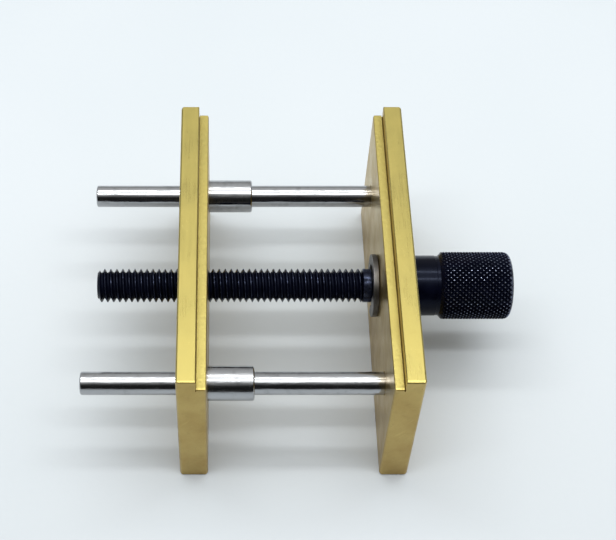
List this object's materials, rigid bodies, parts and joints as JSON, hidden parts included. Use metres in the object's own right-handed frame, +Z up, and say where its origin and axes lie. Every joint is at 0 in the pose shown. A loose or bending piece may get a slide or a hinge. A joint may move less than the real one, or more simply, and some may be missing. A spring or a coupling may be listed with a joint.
{
  "type": "watch movement holder",
  "caption": "Small bench clamp for a watch movement: stepped brass jaws on steel guide rods, opened and closed by a captive screw with a knurled knob.",
  "frame": {"origin": "middle of the bounding box, on the surface that the jaws stand on", "axes": "+X along the screw towards the knob, +Y towards the rear guide rod, +Z up"},
  "size_m": [0.0492, 0.038, 0.0205],
  "materials": {
    "jaw_brass": "satin milled brass, edges lightly broken",
    "rod_steel": "ground and polished",
    "bush_steel": "turned and polished",
    "black_screw": "black oxide, slightly oily",
    "spring_steel": "dark phosphated spring steel",
    "black_knob": "black oxide, diamond knurl on the grip"
  },
  "bodies": {
    "frame": {"fixed_jaw": "jaw_brass", "guide_rod_front": "rod_steel", "guide_rod_rear": "rod_steel"},
    "slider": {"sliding_jaw": "jaw_brass", "guide_bush_front": "bush_steel", "guide_bush_rear": "bush_steel"},
    "spindle": {"clamp_spindle": "black_screw", "retaining_clip": "spring_steel", "knurled_knob": "black_knob", "knob_grub_screw": "black_screw"}
  },
  "joints": [
    {"name": "spindle_turn", "type": "hinge", "parent": "frame", "child": "spindle", "pos_m": [0.01232, 0, 0.0107], "axis": [-1, 0, 0], "range_deg": [-4860, 7200]},
    {"name": "jaw_slide", "type": "slide", "parent": "frame", "child": "slider", "axis": [1, 0, 0], "range_m": [-0.00945, 0.014]}
  ],
  "couplings": [
    {"joint": "spindle_turn", "follows": "jaw_slide", "rad_per_m": 8976}
  ]
}
